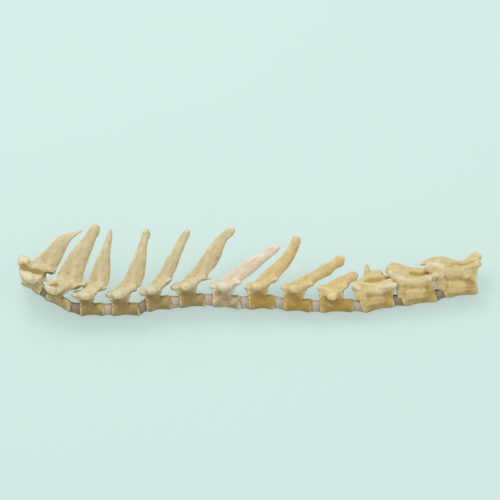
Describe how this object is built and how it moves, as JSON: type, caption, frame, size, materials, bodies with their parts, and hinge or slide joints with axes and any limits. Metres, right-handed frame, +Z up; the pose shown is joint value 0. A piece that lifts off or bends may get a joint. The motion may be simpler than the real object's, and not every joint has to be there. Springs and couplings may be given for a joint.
{
  "type": "spine anatomy model",
  "caption": "Thoracic column of a large dog for anatomy teaching: separate vertebrae joined by soft spacers on a hidden wire.",
  "frame": {"origin": "centre of the bottom of the whole object's box, on the surface it lies on", "axes": "+X along the column towards the tail end, +Y towards the tips of the spinous processes, +Z up, out of the animal's left side"},
  "size_m": [0.297, 0.0566, 0.036],
  "materials": {
    "bone_grey": "dry bone, ivory with a grey-olive tint",
    "bone_white": "dry bone, the palest of the column",
    "bone_yellow": "dry bone, ivory with a golden tint",
    "spacer": "translucent grey-pink silicone, satin",
    "wire": "plain steel wire, hidden"
  },
  "bodies": {
    "root": {"vertebra_t01": "bone_grey", "vertebra_t02": "bone_grey", "vertebra_t03": "bone_grey", "vertebra_t04": "bone_grey", "vertebra_t05": "bone_grey", "vertebra_t06": "bone_grey", "vertebra_t07": "bone_white", "vertebra_t08": "bone_yellow", "vertebra_t09": "bone_yellow", "vertebra_t10": "bone_yellow", "vertebra_t11": "bone_yellow", "vertebra_t12": "bone_yellow", "vertebra_t13": "bone_yellow", "disc_t01_t02": "spacer", "disc_t02_t03": "spacer", "disc_t03_t04": "spacer", "disc_t04_t05": "spacer", "disc_t05_t06": "spacer", "disc_t06_t07": "spacer", "disc_t07_t08": "spacer", "disc_t08_t09": "spacer", "disc_t09_t10": "spacer", "disc_t10_t11": "spacer", "disc_t11_t12": "spacer", "disc_t12_t13": "spacer", "core_wire": "wire"}
  },
  "joints": []
}
